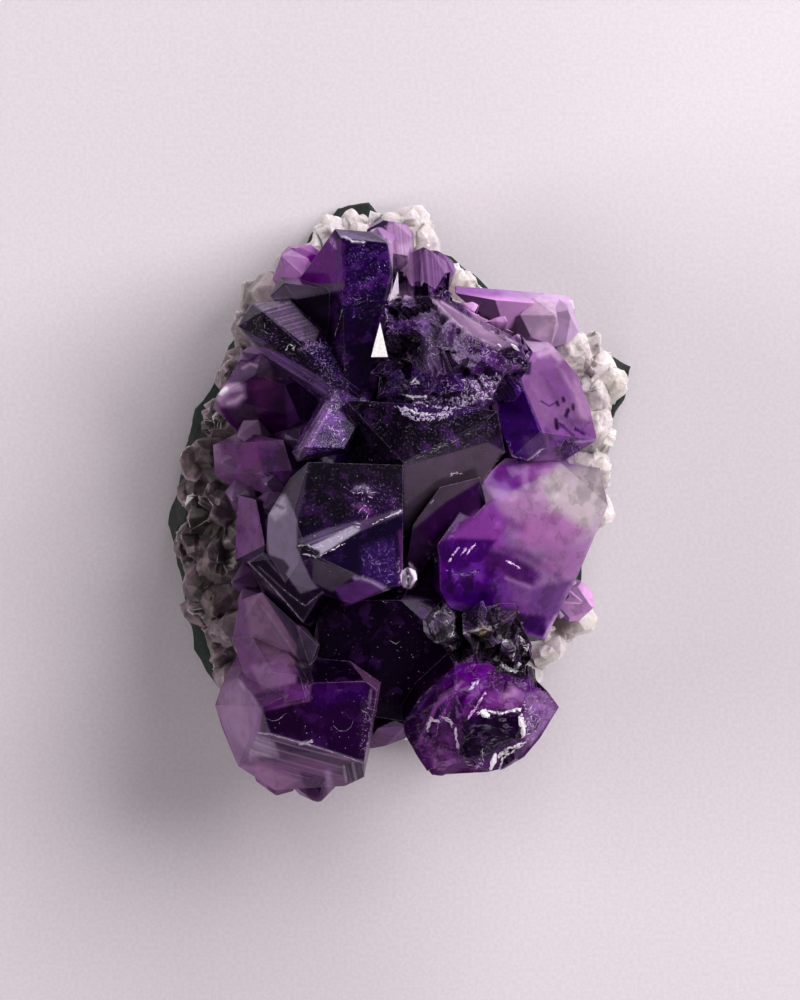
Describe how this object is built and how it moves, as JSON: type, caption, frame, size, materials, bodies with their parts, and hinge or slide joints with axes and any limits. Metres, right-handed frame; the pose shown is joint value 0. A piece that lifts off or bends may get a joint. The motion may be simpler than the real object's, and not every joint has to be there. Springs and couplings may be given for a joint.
{
  "type": "amethyst cluster",
  "caption": "Druse of intergrown deep purple amethyst crystals on granular milky quartz and a thin plate of dark green-grey host rock, sawn flat underneath.",
  "frame": {"origin": "centre of the bounding box in X and Y, on the flat underside in Z", "axes": "+Z up, out of the crystals; +Y along the longest extent, towards the tall leaning prism; +X to the right when seen from above with +Y up"},
  "size_m": [0.0488, 0.0622, 0.0335],
  "materials": {
    "basalt": "rough broken green-grey rock with a brownish weathered edge, sawn smooth underneath",
    "milky_quartz": "granular white-grey quartz, satin to vitreous on its small crystal faces",
    "amethyst": "vitreous see-through crystal, smooth and striated natural faces with some broken ones"
  },
  "bodies": {
    "root": {"basalt_rind": "basalt", "milky_quartz_base": "milky_quartz", "amethyst_crystals": "amethyst"}
  },
  "joints": []
}
